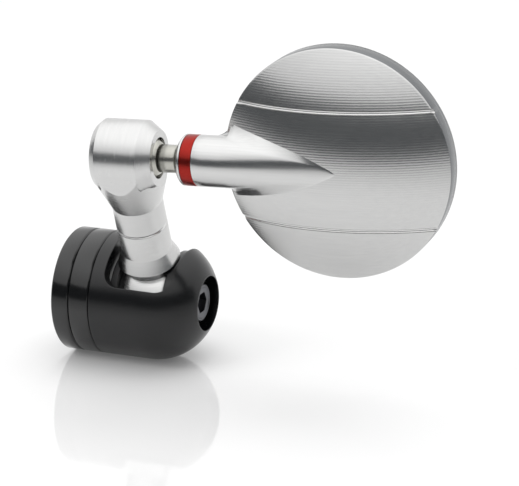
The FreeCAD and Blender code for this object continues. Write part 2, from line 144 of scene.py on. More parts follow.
# At a scale of 1 the wave node turns through 20 radians in a metre.
WAVE_RADIANS = 20
milled, shader = new_finish("clear_anodised_aluminium_milled", Metallic=1.0)
mapping, bump = grain(milled, shader, ("#BFBFBF", "#CDCDCC"), grain_mm=0.5, roughness=(0.19, 0.25),
                      bump_um=0.6, place=BALL_CENTRE, turn=ARM_TURN, stretch=ALONG_ARM)
passes = node(milled, "ShaderNodeTexWave", {"Scale": math.tau / (WAVE_RADIANS * PASS_PITCH),
                                            "Distortion": 0.8, "Detail": 0.0, "Detail Scale": 1.0},
              {"Vector": mapping.outputs["Vector"]}, wave_type="BANDS", bands_direction="Z")
lines = node(milled, "ShaderNodeBump", {"Strength": 1.0, "Distance": PASS_BUMP_UM * 1e-6},
             {"Height": passes.outputs["Fac"], "Normal": bump.outputs["Normal"]})
milled.node_tree.links.new(lines.outputs["Normal"], shader.inputs["Normal"])
drawn, shader = new_finish("clear_anodised_aluminium_milled_arm", Metallic=1.0)
grain(drawn, shader, ("#C3C3C3", "#D2D2D1"), grain_mm=0.4, roughness=(0.2, 0.27), bump_um=0.6,
      place=BALL_CENTRE, turn=ARM_TURN, stretch=ALONG_ARM)
# Painted shade: the rim gets a much darker copy of the same metal, which stands in for the shade along the
# rim.
rim_painted_shade, shader = new_finish("clear_anodised_aluminium_rim_painted_shade", Metallic=1.0)
grain(rim_painted_shade, shader, ("#6E7072", "#7C7E80"), grain_mm=0.4, roughness=(0.22, 0.3), bump_um=0.6,
      place=BALL_CENTRE, turn=ARM_TURN, stretch=ROUND_RIM)
# Painted highlight: the groove floors get a lighter, glossier copy of the metal, so the bright line along the
# grooves is partly painted on top of the light that their round floors catch.
groove_painted_highlight, shader = new_finish("clear_anodised_aluminium_groove_painted_highlight", Metallic=1.0)
grain(groove_painted_highlight, shader, ("#D2D2D1", "#DCDCDB"), grain_mm=0.4, roughness=(0.16, 0.22), bump_um=0.4,
      place=BALL_CENTRE, turn=ARM_TURN, stretch=ALONG_ARM)
print(milled.name, "with passes", round(PASS_PITCH / MM, 2), "mm apart")

# %% [markdown]
# The stem, its head, the end cap of the arm and the plug are turned from the same metal. The tool's lines run
# round each piece, so the grain is squeezed along the axis and drawn out across it. The head's axis lies
# along the arm and the stem's stands up, so there is one finish for each. Real lines are near 0.05 mm
# apart, too fine to show in the picture, so they are drawn about three times as coarse.

# %% Clear anodised aluminium, turned
# Gives the eye a silky grey metal with wide soft highlights and a faint streak round the piece.
TURNED_GREYS, TURNED_GLOSS = ("#C3C3C3", "#D2D2D1"), (0.22, 0.3)
ROUND_X, ROUND_Z = (0.35, 12, 12), (12, 12, 0.35)
turned_head, shader = new_finish("clear_anodised_aluminium_turned_head", Metallic=1.0)
grain(turned_head, shader, TURNED_GREYS, grain_mm=0.5, roughness=TURNED_GLOSS, bump_um=0.8,
      place=HEAD_FRAME.translation, turn=HEAD_FRAME.to_euler(), stretch=ROUND_X)
turned_stem, shader = new_finish("clear_anodised_aluminium_turned_stem", Metallic=1.0)
grain(turned_stem, shader, TURNED_GREYS, grain_mm=0.5, roughness=TURNED_GLOSS, bump_um=0.8,
      place=STEM_FOOT, turn=STEM_TURN.to_euler(), stretch=ROUND_Z)
print(turned_head.name, turned_stem.name)

# %% [markdown]
# The housing and its two rings are anodised black. The oxide is a glassy layer with dye in its pores, so it
# shines like lacquer over a dark ground, and is set up as a dielectric. The housing was blasted first and
# is satin. The rings came off the lathe and stay glossier, with the tool's lines round them.

# %% Black anodised aluminium, blasted and turned
# Give the eye a deep grey that lightens softly where it faces the light, and sharper bands on the rings.
blasted_black, shader = new_finish("black_anodised_aluminium_blasted", IOR=1.5)
grain(blasted_black, shader, ("#07080A", "#0B0C0E"), grain_mm=0.25, roughness=(0.22, 0.28), bump_um=1.5,
      edge_mm=0.4)
turned_black, shader = new_finish("black_anodised_aluminium_turned", IOR=1.6)
grain(turned_black, shader, ("#08090A", "#0C0D0E"), grain_mm=0.4, roughness=(0.13, 0.18), bump_um=0.5,
      stretch=(0.3, 12, 12))
print(blasted_black.name, turned_black.name)

# %% [markdown]
# The ring on the arm is anodised red. Here the dye is see-through and the bright metal under it carries
# the colour, so this one is set up as a metal with a red colour.

# %% Red anodised aluminium
# Gives the eye a clear candy red, light on top and deep below.
red, shader = new_finish("red_anodised_aluminium", Metallic=1.0)
grain(red, shader, ("#8E2622", "#9E302A"), grain_mm=0.35, roughness=(0.26, 0.34), bump_um=1.0)
print(red.name)

# %% [markdown]
# The ball and its stud are bright turned steel, a warmer and darker grey than the aluminium. The clamp bolt,
# its washer, the grub screw and the spring are steel with a black oxide skin, which is thin, a little oily
# and never quite even. Both are metals, so both keep the metal's default IOR.

# %% Steels
# Bright steel gives the eye a warm grey with narrow highlights, black steel a dark sheen.
bright_steel, shader = new_finish("turned_steel", Metallic=1.0)
grain(bright_steel, shader, ("#ACABA4", "#BEBDB6"), grain_mm=0.5, roughness=(0.2, 0.28), bump_um=0.8,
      place=BALL_CENTRE, turn=ARM_TURN, stretch=ROUND_X)
black_steel, shader = new_finish("black_oxide_steel", Metallic=1.0)
grain(black_steel, shader, ("#55565A", "#6B6C70"), grain_mm=0.5, roughness=(0.28, 0.38), bump_um=1.5)
print(bright_steel.name, black_steel.name)

# %% [markdown]
# The washer, the bush and the two ball seats are acetal, a waxy bearing plastic, here black. The glass is
# silvered on its back, and at this size it reads as one clear mirror, with a faint green from the glass.
# Behind it lies a pad of foam tape.

# %% Acetal, silvered glass and foam tape
# Acetal gives the eye a soft dull black, the glass a sharp cool mirror, and the foam a matt grey.
acetal, shader = new_finish("black_acetal", IOR=1.48)
grain(acetal, shader, ("#1B1B1C", "#242425"), grain_mm=0.4, roughness=(0.42, 0.52), bump_um=4.0)
silvered, shader = new_finish("silvered_glass", Metallic=1.0)
grain(silvered, shader, ("#DDE3E1", "#E3E8E6"), grain_mm=6.0, roughness=(0.015, 0.03), bump_um=0.0)
foam, shader = new_finish("polyethylene_foam_tape", IOR=1.45)
grain(foam, shader, ("#2E2F31", "#3A3B3D"), grain_mm=0.5, roughness=(0.85, 0.95), bump_um=60.0)
print(acetal.name, silvered.name, foam.name)

# %% [markdown]
# The solids that stay inside the part, or show only a little, keep their own shape and get their finish in
# the slot that they came with.

# %% Finish of the solids that stay
STAY = {"friction_washer": acetal, "eye_bush": acetal, "back_seat_cup": acetal, "front_seat_ring": acetal,
        "disc_spring": black_steel, "swivel_set_screw": black_steel, "preload_plug": turned_head,
        "mirror_glass": silvered, "adhesive_pad": foam, "pivot_housing": blasted_black}
for name, finish in STAY.items():
    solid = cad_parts[name]
    solid.data.materials.clear()
    solid.data.materials.append(finish)
print("kept as they are:", ", ".join(STAY))

# %% [markdown]
# A turned piece is a profile taken round an axis. Spinning a drawn profile would do, and so would a Screw
# modifier. Here a circle is drawn at the profile's first corner and pulled from corner to corner, which is
# how such a piece grows under the hand: extrude, then scale. A bored piece comes back to its first circle,
# where the doubles are merged. A solid one starts from a filled circle, and extruding keeps it closed.
# A small bevel then breaks every edge, because a real edge is never quite sharp and always catches light.

# %% Helpers for pieces
EDGE_STEPS, EDGE_ANGLE, SMOOTH_ANGLE = 2, math.radians(20), math.radians(30)


def finish_piece(piece, material, body, slot, *nodes):
    """Give a piece its finish and its body, and let it stand for its solids; the slot is not used."""
    if not piece.data.materials:
        piece.data.materials.append(material)
    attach(piece, body)
    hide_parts(*nodes)
    print(piece.name, "faces:", len(piece.data.polygons), "rides on", body)


def apply_all(piece):
    """Apply the modifiers in their order."""
    for modifier in list(piece.modifiers):
        bpy.ops.object.modifier_apply(modifier=modifier.name)


def turned_piece(name, profile, bored, edge_mm, place=Matrix.Identity(4), sides=128):
    """Turn a profile of (x, radius) corners in millimetres about X, break its edges and put it in place."""
    bpy.ops.object.select_all(action="DESELECT")
    x, r = profile[0]
    bpy.ops.mesh.primitive_circle_add(vertices=sides, radius=r * MM, location=(x * MM, 0, 0),
                                      rotation=(0, math.radians(90), 0),
                                      fill_type="NOTHING" if bored else "NGON")
    piece = bpy.context.object
    piece.name = name
    bpy.ops.object.transform_apply(location=True, rotation=True, scale=True)
    bpy.ops.object.mode_set(mode="EDIT")
    bpy.ops.mesh.select_all(action="SELECT")
    for next_x, next_r in profile[1:] + (profile[:1] if bored else []):
        step = ((next_x - x) * MM, 0, 0)
        bpy.ops.mesh.extrude_region_move(TRANSFORM_OT_translate={"value": step})
        bpy.ops.transform.resize(value=(1, next_r / r, next_r / r))
        x, r = next_x, next_r
    bpy.ops.mesh.select_all(action="SELECT")
    bpy.ops.mesh.remove_doubles(threshold=1e-7)
    bpy.ops.mesh.normals_make_consistent(inside=False)
    bpy.ops.object.mode_set(mode="OBJECT")
    if edge_mm:
        bevel = piece.modifiers.new("edge", "BEVEL")
        bevel.width, bevel.segments, bevel.limit_method = edge_mm * MM, EDGE_STEPS, "ANGLE"
        bevel.angle_limit = EDGE_ANGLE
    apply_all(piece)
    bpy.ops.object.shade_smooth_by_angle(angle=SMOOTH_ANGLE)
    piece.matrix_world = place
    bpy.ops.object.transform_apply(location=True, rotation=True, scale=True)
    return piece


print("bevels have", EDGE_STEPS, "steps, on edges over", round(math.degrees(EDGE_ANGLE)), "degrees")

# %% [markdown]
# The ring that meets the handlebar is threaded for the plug inside the bar. A true helix isn't needed for the
# eye: the thread is drawn as a row of V grooves, one to each turn, in the bore. The ring beside it holds the
# bolt's thread. The chamfers of the two rings and of the housing make the two dark seams.

# %% Bar ring and clamp ring
# The pitch is coarser than a real fine thread, so that the grooves show in the picture.
THREAD_PITCH, THREAD_DEPTH, THREAD_TURNS, BORE_R, BORE_END = 1.3, 0.7, 6, 6.5, 7.8
RING_R, END_CHAMFER, SEAM_CHAMFER, SEAM_X, HOUSING_X = 16, 0.4, 0.42, 4.8, 10.44
SPIGOT_R, SPIGOT_PLAY, COLLAR_R, COLLAR_END, BOLT_HOLE_R = 10, 0.1, 12.7, 14.82, 3.05
thread = []
for groove in range(THREAD_TURNS):
    x = BORE_END - THREAD_PITCH * groove
    thread += [(x, BORE_R), (x - THREAD_PITCH / 2, BORE_R + THREAD_DEPTH)]
bar_ring = turned_piece("bar_ring", thread + [
    (0, BORE_R), (0, RING_R - END_CHAMFER), (END_CHAMFER, RING_R), (SEAM_X - SEAM_CHAMFER, RING_R),
    (SEAM_X, RING_R - SEAM_CHAMFER), (SEAM_X, SPIGOT_R), (BORE_END, SPIGOT_R)], bored=True, edge_mm=0.08)
finish_piece(bar_ring, turned_black, "housing", "black_anodised", "bar_adapter_ring")
squeeze_ring = turned_piece("squeeze_ring", [
    (SEAM_X, SPIGOT_R + SPIGOT_PLAY), (SEAM_X, RING_R - SEAM_CHAMFER), (SEAM_X + SEAM_CHAMFER, RING_R),
    (HOUSING_X - SEAM_CHAMFER, RING_R), (HOUSING_X, RING_R - SEAM_CHAMFER), (HOUSING_X, COLLAR_R),
    (COLLAR_END, COLLAR_R), (COLLAR_END, BOLT_HOLE_R), (BORE_END + SPIGOT_PLAY, BOLT_HOLE_R),
    (BORE_END + SPIGOT_PLAY, SPIGOT_R + SPIGOT_PLAY)], bored=True, edge_mm=0.08)
finish_piece(squeeze_ring, turned_black, "housing", "black_anodised", "clamp_ring")

# %% [markdown]
# The clamp bolt has a low head with a hexagon socket. The head is turned like the other pieces. The socket
# could be made with an inset, but the head's end is one round face, so a six-sided bar is cut out of it
# with a Boolean, as a broach does in the real one.

# %% Clamp bolt and washer
BOLT_R, BOLT_HEAD_R, BOLT_CHAMFER, BOLT_TIP, BOLT_SEAT, BOLT_TOP = 3, 5, 0.4, 8.4, 32.02, 35.62
DISH_RIM_R, DISH_R, DISH_DEPTH, SOCKET_FLATS, SOCKET_DEPTH, BROACH_SPARE = 4.2, 4.0, 0.25, 5.0, 2.4, 1
WASHER_START, WASHER_HOLE_R, WASHER_R = 31.32, 3.2, 5.9


def cut_by(piece, cutter, operation="DIFFERENCE"):
    """Cut a piece with another one, or keep what they share, and remove the cutter."""
    bpy.ops.object.select_all(action="DESELECT")
    bpy.context.view_layer.objects.active = piece
    piece.select_set(True)
    cut = piece.modifiers.new("cut", "BOOLEAN")
    cut.operation, cut.object, cut.solver = operation, cutter, "EXACT"
    apply_all(piece)
    bpy.data.objects.remove(cutter)


bolt = turned_piece("bolt", [
    (BOLT_TIP, BOLT_R - BOLT_CHAMFER), (BOLT_TIP + BOLT_CHAMFER, BOLT_R), (BOLT_SEAT, BOLT_R),
    (BOLT_SEAT, BOLT_HEAD_R), (BOLT_TOP - BOLT_CHAMFER, BOLT_HEAD_R), (BOLT_TOP, BOLT_HEAD_R - BOLT_CHAMFER),
    (BOLT_TOP, DISH_RIM_R), (BOLT_TOP - DISH_DEPTH, DISH_R)], bored=False, edge_mm=0.1)
bpy.ops.object.select_all(action="DESELECT")
bpy.ops.mesh.primitive_cylinder_add(vertices=6, radius=SOCKET_FLATS / math.sqrt(3) * MM,
                                    depth=(SOCKET_DEPTH + BROACH_SPARE) * MM,
                                    location=((BOLT_TOP + (BROACH_SPARE - SOCKET_DEPTH) / 2) * MM, 0, 0),
                                    rotation=(0, math.radians(90), 0))
cut_by(bolt, bpy.context.object)
bpy.ops.object.shade_smooth_by_angle(angle=SMOOTH_ANGLE)
finish_piece(bolt, black_steel, "housing", "steel", "clamp_bolt")
washer = turned_piece("washer", [
    (WASHER_START, WASHER_HOLE_R), (WASHER_START, WASHER_R), (BOLT_SEAT, WASHER_R),
    (BOLT_SEAT, WASHER_HOLE_R)], bored=True, edge_mm=0.15)
finish_piece(washer, bright_steel, "housing", "steel", "clamp_washer")

# %% [markdown]
# Along the arm come the ball, its stud with a flared shoulder, a silver end cap and the red ring. The ball is
# turned as well: its profile is a half circle cut off at the neck, so the ball and the neck meet in a
# clean line. The cap, the ring and the arm have broken edges and hair gaps, which make the thin dark lines.

# %% Ball, stud, end cap and red ring
BALL_R, NECK_R, BALL_STEPS, POLE_GAP, ARM_R = 5.6, 3.5, 40, 0.02, 6.36
STUD_START, SHOULDER_X, SHOULDER_R, STUD_R, STUD_END = 4.42, 10.47, 5.3, 2.9, 18.47
CAP_START, CAP_END, CAP_CHAMFER, CAP_HOLE_R = 10.52, 11.62, 0.6, 2.95
RED_START, RED_END, RED_CHAMFER, RED_HOLE_R = 11.67, 14.74, 0.16, 4.55
pole_angle, neck_angle = math.pi - POLE_GAP, math.asin(NECK_R / BALL_R)
arc = [pole_angle - k * (pole_angle - neck_angle) / BALL_STEPS for k in range(BALL_STEPS + 1)]
half_circle = [(BALL_R * math.cos(a), BALL_R * math.sin(a)) for a in arc]
joint_ball = turned_piece("joint_ball", half_circle, bored=False, edge_mm=0, place=MIRROR_FRAME)
finish_piece(joint_ball, bright_steel, "stud", "steel", "ball")
stud = turned_piece("stud", [(STUD_START, NECK_R), (8.6, NECK_R), (9.2, 3.6), (9.57, 3.9), (10.1, 4.9),
                             (SHOULDER_X, SHOULDER_R), (SHOULDER_X, STUD_R), (STUD_END, STUD_R)],
                    bored=False, edge_mm=0.06, place=MIRROR_FRAME)
finish_piece(stud, bright_steel, "stud", "steel", "ball_stud")
end_cap = turned_piece("end_cap", [
    (CAP_START, CAP_HOLE_R), (CAP_START, ARM_R - CAP_CHAMFER), (CAP_START + CAP_CHAMFER, ARM_R),
    (CAP_END, ARM_R), (CAP_END, CAP_HOLE_R)], bored=True, edge_mm=0.1, place=MIRROR_FRAME)
finish_piece(end_cap, turned_head, "mirror", "silver_anodised", "end_ferrule")
red_ring = turned_piece("red_ring", [
    (RED_START, RED_HOLE_R), (RED_START, ARM_R - RED_CHAMFER), (RED_START + RED_CHAMFER, ARM_R),
    (RED_END - RED_CHAMFER, ARM_R), (RED_END, ARM_R - RED_CHAMFER), (RED_END, RED_HOLE_R)],
    bored=True, edge_mm=0.05, place=MIRROR_FRAME)
finish_piece(red_ring, red, "mirror", "red_anodised", "accent_ring")

# %% [markdown]
# The lower stem widens into the window and sits on a round eye that turns about the bolt. The stem is turned
# about its own axis, so it is made along X and then stood up. Under the housing's wall the eye's room is
# narrower than the window, so two round bars are cut away beside the flare. The eye is then joined to it.

# %% Lower stem and eye
def join(name, pieces, edge_angle):
    """Make several pieces one object and shade it smooth between its edges."""
    bpy.ops.object.select_all(action="DESELECT")
    for piece in pieces:
        piece.select_set(True)
    bpy.context.view_layer.objects.active = pieces[0]
    bpy.ops.object.join()
    bpy.ops.object.shade_smooth_by_angle(angle=math.radians(edge_angle))
    pieces[0].name = name
    return pieces[0]


UPRIGHT = Matrix.Rotation(math.radians(-90), 4, "Y")
EYE_R, EYE_HALF, EYE_CROWN, EYE_BORE_R = 12.4, 6.5, 1.8, 3.65
EYE_STEPS, SIDE_ROOM_R, SIDE_ROOM_LENGTH = 6, 13.0, 8.0
STEM_R, STEM_CHAMFER, STEM_TOP, FLARE_TOP = 6.48, 0.3, 24.1, 16.5
flare = turned_piece("flare", [
    (STEM_TOP, STEM_R - STEM_CHAMFER), (STEM_TOP - STEM_CHAMFER, STEM_R), (FLARE_TOP, STEM_R),
    (12.95, 8.05), (12.6, 7.8), (10.86, 6.7), (9.0, 6.0)],
    bored=False, edge_mm=0.1, place=STEM_FRAME @ UPRIGHT)
for side in (1, -1):
    near = STEM_X + side * EYE_HALF
    far = STEM_X + side * (EYE_HALF + SIDE_ROOM_LENGTH)
    room = [(x, SIDE_ROOM_R) for x in sorted((near, far))]
    cut_by(flare, turned_piece("room", room, bored=False, edge_mm=0))
crown = []
for k in range(-EYE_STEPS, EYE_STEPS + 1):
    crown.append((EYE_HALF * k / EYE_STEPS, EYE_R - EYE_CROWN * (k / EYE_STEPS) ** 2))
eye = turned_piece("eye", [(-EYE_HALF, EYE_BORE_R)] + crown + [(EYE_HALF, EYE_BORE_R)], bored=True,
                   edge_mm=0, place=Matrix.Translation(STEM_FOOT))
lower_stem = join("lower_stem_and_eye", [flare, eye], edge_angle=14)
finish_piece(lower_stem, turned_stem, "lower_stem", "silver_anodised", "pivot_eye")

# %% [markdown]
# The head is a stub cylinder that lies across the stem, bored for the ball and chamfered at both ends.
# It is turned like the other pieces.

# %% Head
HEAD_R, HEAD_BACK, HEAD_FRONT, HEAD_BORE_R = 9.23, 7.26, 8.39, 6.4
BACK_CHAMFER_X, BACK_END_R, FRONT_CHAMFER_X, FRONT_END_R = -5.55, 7.77, 5.22, 6.89
MOUTH_X, MOUTH_R = 7.29, 5.1
stub = turned_piece("stub", [
    (-HEAD_BACK, HEAD_BORE_R), (-HEAD_BACK, BACK_END_R), (BACK_CHAMFER_X, HEAD_R), (FRONT_CHAMFER_X, HEAD_R),
    (HEAD_FRONT, FRONT_END_R), (HEAD_FRONT, MOUTH_R), (MOUTH_X, MOUTH_R), (MOUTH_X, HEAD_BORE_R)],
    bored=True, edge_mm=0.1, place=HEAD_FRAME)
print("head reaches from", -HEAD_BACK, "to", HEAD_FRONT, "mm along its axis")

# %% [markdown]
# Below the head a cone runs down to the stem and is cut flat where it meets the head's ends and sides. A row
# of bisects would do that. Here the cone is turned and then kept inside a block as wide as the head, and a
# hair shorter, so that no two faces lie in one plane. A bar cut out of its top keeps the ball's room free.
# Two small blocks trim the corners that would stand proud of the head's chamfers. A small hole at the
# back shows the grub screw.

# %% Neck
NECK_RISE, NECK_ANGLE, NECK_END = 13.73, math.radians(18.4), 20.78
BLOCK_HEIGHT, BLOCK_SLACK, BALL_ROOM_R, BALL_ROOM_HALF = 24, 0.04, 6.6, 12
CORNER_X, CORNER_Z, CORNER_SIZE = (8.25, -8.6), -0.3, (6, 30, 8.2)
SCREW_Z, SCREW_R, SCREW_HOLE = -17.43, 1.55, (3, 9)


def head_block(middle, size):
    """A block in the head's frame, with its middle and its size in millimetres."""
    bpy.ops.object.select_all(action="DESELECT")
    bpy.ops.mesh.primitive_cube_add(size=1)
    block = bpy.context.object
    block.scale = Vector(size) * MM
    block.matrix_world = HEAD_FRAME @ Matrix.Translation(Vector(middle) * MM) @ block.matrix_basis
    return block


neck_top_r = STEM_R + NECK_RISE * math.tan(NECK_ANGLE)
neck = turned_piece("neck", [(-NECK_END, STEM_R - STEM_CHAMFER), (STEM_CHAMFER - NECK_END, STEM_R),
                             (-NECK_RISE, STEM_R), (0, neck_top_r)],
                    bored=False, edge_mm=0.1, place=HEAD_FRAME @ UPRIGHT)
block_size = (HEAD_BACK + HEAD_FRONT - BLOCK_SLACK, 2 * HEAD_R, BLOCK_HEIGHT)
cut_by(neck, head_block(((HEAD_FRONT - HEAD_BACK) / 2, 0, -BLOCK_HEIGHT / 2), block_size), "INTERSECT")
ball_room = [(-BALL_ROOM_HALF, BALL_ROOM_R), (BALL_ROOM_HALF, BALL_ROOM_R)]
cut_by(neck, turned_piece("ball_room", ball_room, bored=False, edge_mm=0, place=HEAD_FRAME))
for x in CORNER_X:
    cut_by(neck, head_block((x, 0, CORNER_Z), CORNER_SIZE))
BACKWARDS = Matrix.Translation((0, 0, SCREW_Z * MM)) @ Matrix.Rotation(math.radians(90), 4, "Z")
screw_hole = turned_piece("screw_hole", [(x, SCREW_R) for x in SCREW_HOLE], bored=False, edge_mm=0,
                          place=HEAD_FRAME @ BACKWARDS, sides=48)
cut_by(neck, screw_hole)
stub.data.materials.append(turned_head)
neck.data.materials.append(turned_stem)
upper_stem = join("head_and_upper_stem", [stub, neck], edge_angle=12)
finish_piece(upper_stem, turned_head, "ball_head", "silver_anodised", "upper_stem")

# %% [markdown]
# The disc is turned: a shallow dome that is part of a ball, a straight rim, and a seat for the glass. A
# flattened sphere would be quicker, but its back is no part of a ball, and the grooves would be no circles.

# %% Disc
DISC_X, DISC_R, DOME_R, DOME_APEX = 48.94, 28.75, 55.66, -5.0
FRONT_Y, SEAT_Y, SEAT_R, DOME_STEPS = 8.1, 5.5, 27.15, 60
TO_GLASS = Matrix.Translation((DISC_X * MM, 0, 0)) @ Matrix.Rotation(math.radians(90), 4, "Z")
rim_angle = math.asin(DISC_R / DOME_R)
dome = []
for k in range(1, DOME_STEPS + 1):
    a = rim_angle * k / DOME_STEPS
    dome.append((DOME_APEX + DOME_R * (1 - math.cos(a)), DOME_R * math.sin(a)))
disc = turned_piece("disc", dome + [(FRONT_Y, DISC_R), (FRONT_Y, SEAT_R), (SEAT_Y, SEAT_R)], bored=False,
                    edge_mm=0.2, place=MIRROR_FRAME @ TO_GLASS, sides=256)
print("disc:", 2 * DISC_R, "mm across, dome", round(dome[-1][0] - dome[0][0], 2), "mm high")

# %% [markdown]
# The two grooves run straight across the dome at one depth, so each lies on a circle, as a parallel does on a
# globe. A thin torus is exactly that form, and cutting with it leaves the round floor of a ball-nosed cutter,
# which catches the light along its lower side. The faces then get their finish by their place: the rim a
# darker copy of the metal as painted shade, the floors of the grooves a lighter copy as a painted highlight,
# and the dome the milled finish for all the rest.

# %% Grooves and the disc's finishes
GROOVE_Z, GROOVE_R, RIM_SKIN, FLOOR_DEPTH, DOME_SIDE = 14.6, 0.55, 0.1, 0.03, 3
for side in (1, -1):
    bpy.ops.object.select_all(action="DESELECT")
    bpy.ops.mesh.primitive_torus_add(major_radius=math.sqrt(DOME_R ** 2 - GROOVE_Z ** 2) * MM,
                                     minor_radius=GROOVE_R * MM, major_segments=512, minor_segments=32)
    cutter = bpy.context.object
    cutter.matrix_world = MIRROR_FRAME @ Matrix.Translation(
        Vector((DISC_X, DOME_APEX + DOME_R, side * GROOVE_Z)) * MM)
    cut_by(disc, cutter)
disc.data.materials.append(milled)
disc.data.materials.append(rim_painted_shade)
disc.data.materials.append(groove_painted_highlight)
to_mirror = MIRROR_FRAME.inverted()
for face in disc.data.polygons:
    middle = to_mirror @ face.center / MM
    depth = DOME_R - math.hypot(middle.x - DISC_X, middle.y - DOME_APEX - DOME_R, middle.z)
    in_groove = depth > FLOOR_DEPTH and abs(abs(middle.z) - GROOVE_Z) < GROOVE_R
    # Faces of the rim get the darker copy, which is painted shade.
    if math.hypot(middle.x - DISC_X, middle.z) > DISC_R - RIM_SKIN:
        face.material_index = 1
    # Groove floors on the dome side get the lighter copy, which is a painted highlight.
    elif in_groove and middle.y < DOME_SIDE:
        face.material_index = 2
print("disc faces:", len(disc.data.polygons))

# %% [markdown]
# The arm is round, then it sweeps out to the rim through two hollows, and from there it runs to a point on
# the dome. No single operator gives that, so it is laid out as a row of outlines, one at each station along
# the arm. An outline is an arc for the arm's back, a hollow on each side that touches the arc, and two feet.

# %% Outline of the arm
FLARE_START, FLARE_END, TIP_PAST_MIDDLE = 17.3, 22.29, 2.5
FLARE_LEVEL, FLARE_HOLLOW, FLARE_FOOT, FOOT_SINK, FLANK_FULLNESS = 3.2, 3.0, 1.6, 0.1, 0.6
ROOT_STRAIGHT, TIP_STRAIGHT, LEAST = 0.5, 0.97, 0.05
TIP = Vector((DISC_X + TIP_PAST_MIDDLE, DOME_APEX, 0))
SWEEP_STEPS, CONE_STEPS, BLEND_STEPS, BACK_STEPS, SIDE_STEPS = 16, 40, 12, 32, 24


def arm_outline(x, hollow, reach, foot):
    """Closed outline over the arm's back, from foot to foot, with a hollow on each side that touches it."""
    # The hollow is an arc that touches the back and ends at the foot. The cosine rule places its middle.
    apart, far = ARM_R + hollow, math.hypot(reach, FLARE_LEVEL)
    between = math.acos((apart ** 2 + far ** 2 - hollow ** 2) / (2 * apart * far))
    swing = math.atan2(reach, -FLARE_LEVEL) - between
    y, z = -apart * math.cos(swing), apart * math.sin(swing)
    start, end = math.atan2(-z, -y), math.atan2(reach - z, FLARE_LEVEL - y)
    half = []
    for k in range(BACK_STEPS + 1):
        a = swing * k / BACK_STEPS
        half.append((-ARM_R * math.cos(a), ARM_R * math.sin(a)))
    for k in range(1, SIDE_STEPS + 1):
        a = start + (end - start) * k / SIDE_STEPS
        half.append((y + hollow * math.cos(a), z + hollow * math.sin(a)))
    half.append((FLARE_LEVEL + foot, reach))
    half.append((FLARE_LEVEL + foot, 0))
    return [Vector((x, y, -z)) for y, z in half[:0:-1]] + [Vector((x, y, z)) for y, z in half]


print("points in an outline:", len(arm_outline(0, FLARE_HOLLOW, ARM_R, FLARE_FOOT)))

# %% [markdown]
# Over the sweep the feet move out in a smooth quarter turn, so the arm grows into the rim without a corner.
# After it the hollows fill out to nearly straight sides and the outline narrows to the tip. Its ridge stays
# straight and its two feet lie on the dome, so the arm runs out into the dome without a step.

# %% Stations along the arm
stations = []
for k in range(SWEEP_STEPS + 1):
    a = math.radians(90) * k / SWEEP_STEPS
    grow = 1 - math.cos(a)
    x = FLARE_END - (FLARE_END - FLARE_START) * (1 - math.sin(a))
    hollow = max(LEAST, FLARE_HOLLOW * grow)
    half_width = math.sqrt((ARM_R + hollow) ** 2 - (FLARE_LEVEL - hollow) ** 2)
    foot = LEAST + FLARE_FOOT * grow
    stations.append(arm_outline(x, hollow / (1 - ROOT_STRAIGHT * grow), half_width, foot))
for k in range(1, CONE_STEPS + 1):
    left = 1 - k / CONE_STEPS
    x, ridge = TIP.x + (FLARE_END - TIP.x) * left, TIP.y - (TIP.y + ARM_R) * left
    spread = left ** FLANK_FULLNESS
    foot_z = half_width * spread
    dome_y = DOME_APEX + DOME_R - math.sqrt(DOME_R ** 2 - (x - DISC_X) ** 2 - foot_z ** 2)
    share = (dome_y + FOOT_SINK - ridge) / (FLARE_LEVEL + ARM_R)
    straight = ROOT_STRAIGHT + (TIP_STRAIGHT - ROOT_STRAIGHT) * min(1, k / BLEND_STEPS)
    outline = arm_outline(FLARE_END, FLARE_HOLLOW / (1 - straight), half_width, LEAST + FLARE_FOOT)
    stations.append([Vector((x, ridge + (point.y + ARM_R) * share, point.z * spread)) for point in outline])
print("stations:", len(stations), "widest", round(2 * half_width, 1), "mm")

# %% [markdown]
# A grid has a row for each station and a column for each point of the outline, and its points are moved to
# their places. Merging the doubles closes it under the feet and at the tip, and one face closes its start.
# The round arm is turned, and the three pieces become one, as they are milled from one block.

# %% Arm
ARM_START, ARM_SPIGOT_R, ROD_SINK = 14.79, 4.5, 0.01
bpy.ops.object.select_all(action="DESELECT")
bpy.ops.mesh.primitive_grid_add(x_subdivisions=len(stations[0]) - 1, y_subdivisions=len(stations) - 1, size=1)
sweep = bpy.context.object
for point, place in zip(sweep.data.vertices, [place for outline in stations for place in outline]):
    point.co = MIRROR_FRAME @ (place * MM)
bpy.ops.object.mode_set(mode="EDIT")
bpy.ops.mesh.select_all(action="SELECT")
bpy.ops.mesh.remove_doubles(threshold=1e-7)
bpy.ops.mesh.select_all(action="DESELECT")
bpy.ops.mesh.select_non_manifold()
bpy.ops.mesh.edge_face_add()
bpy.ops.mesh.select_all(action="SELECT")
bpy.ops.mesh.normals_make_consistent(inside=False)
bpy.ops.object.mode_set(mode="OBJECT")
arm = turned_piece("arm", [(RED_START, ARM_SPIGOT_R), (ARM_START, ARM_SPIGOT_R), (ARM_START, ARM_R),
                           (FLARE_START, ARM_R), (FLARE_END, ARM_R - ROD_SINK)],
                   bored=False, edge_mm=0.1, place=MIRROR_FRAME)
sweep.data.materials.append(drawn)
arm.data.materials.append(drawn)
mirror_body = join("disc_and_arm", [disc, sweep, arm], edge_angle=24)
finish_piece(mirror_body, milled, "mirror", "silver_anodised", "mirror_body")

# %% [markdown]
# The stage is a pale glossy table with a bright studio above it. The table glows a little for the camera,
# which makes it white without more light on the part, and it still shows the shadow. It ends a little way
# in front of the part, because what lies beyond its edge shows in the metal.

